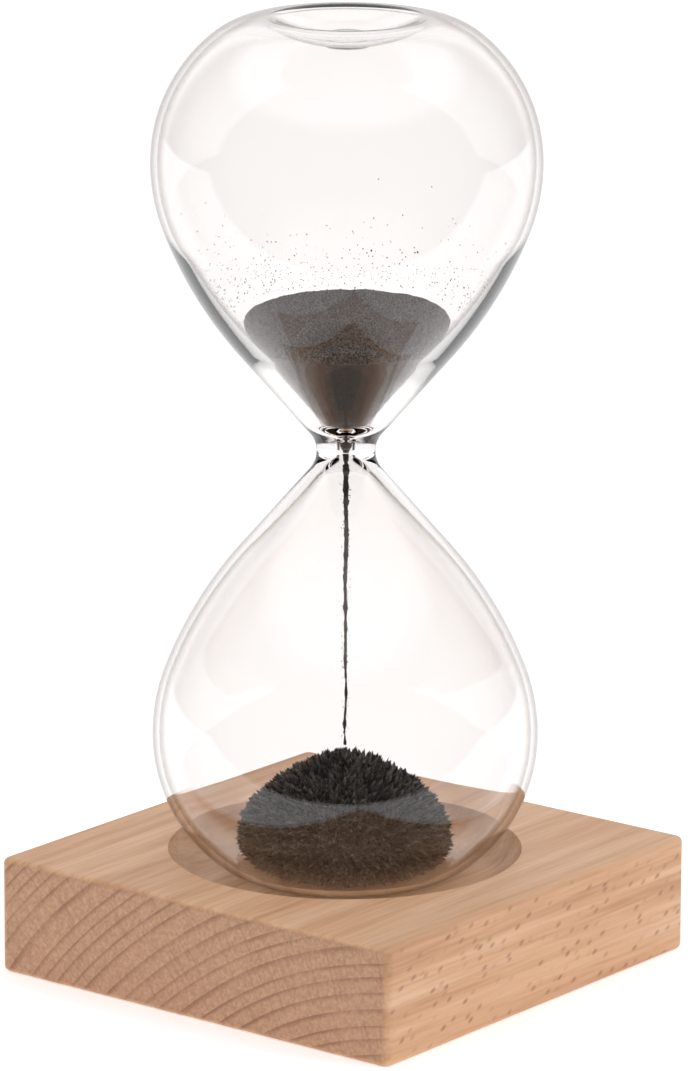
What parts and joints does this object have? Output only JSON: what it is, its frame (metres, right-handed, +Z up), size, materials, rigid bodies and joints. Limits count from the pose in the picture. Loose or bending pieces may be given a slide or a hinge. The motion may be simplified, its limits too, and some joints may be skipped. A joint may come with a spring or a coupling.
{
  "type": "magnetic desk hourglass",
  "caption": "Desk hourglass of clear glass with black iron powder, standing in a round recess of a square wooden block that hides a magnet; it lifts out, spins and turns over",
  "frame": {"origin": "middle of the underside, on the desk", "axes": "+Z up along the hourglass; +X out of a long-grain side face of the block; -Y out of an end-grain face; the wood's grain runs along Y"},
  "size_m": [0.085, 0.085, 0.1667],
  "materials": {
    "beech": "fine-sanded beech under a thin matt lacquer",
    "magnet_ferrite": "ground sintered ferrite",
    "adhesive": "cured adhesive",
    "felt": "pressed felt disc",
    "clear_glass": "blown clear glass",
    "seal_glass": "flame-melted clear glass",
    "iron_powder": "loose fine iron powder"
  },
  "bodies": {
    "base": {"wooden_base": "beech", "magnet": "magnet_ferrite", "magnet_adhesive": "adhesive", "pocket_cover": "felt"},
    "lower_powder": {"powder_mound": "iron_powder", "powder_stream": "iron_powder"},
    "upper_powder_heap": {"upper_powder": "iron_powder"},
    "glass": {"lower_bulb": "clear_glass", "upper_bulb": "clear_glass", "fill_seal": "seal_glass"}
  },
  "joints": [
    {"name": "glass_lift", "type": "slide", "parent": "base", "child": "lower_powder", "axis": [0, 0, 1], "range_m": [0, 0.26]},
    {"name": "glass_spin", "type": "hinge", "parent": "lower_powder", "child": "upper_powder_heap", "pos_m": [0, 0, 0.0914], "axis": [0, 0, 1], "continuous": true},
    {"name": "turn_over", "type": "hinge", "parent": "upper_powder_heap", "child": "glass", "pos_m": [0, 0, 0.0914], "axis": [1, 0, 0], "range_deg": [0, 180], "deforming": ["upper_powder", "powder_stream", "powder_mound"]}
  ],
  "couplings": [
    {"joint": "turn_over", "follows": "glass_lift", "rad_per_m": 12.083}
  ]
}
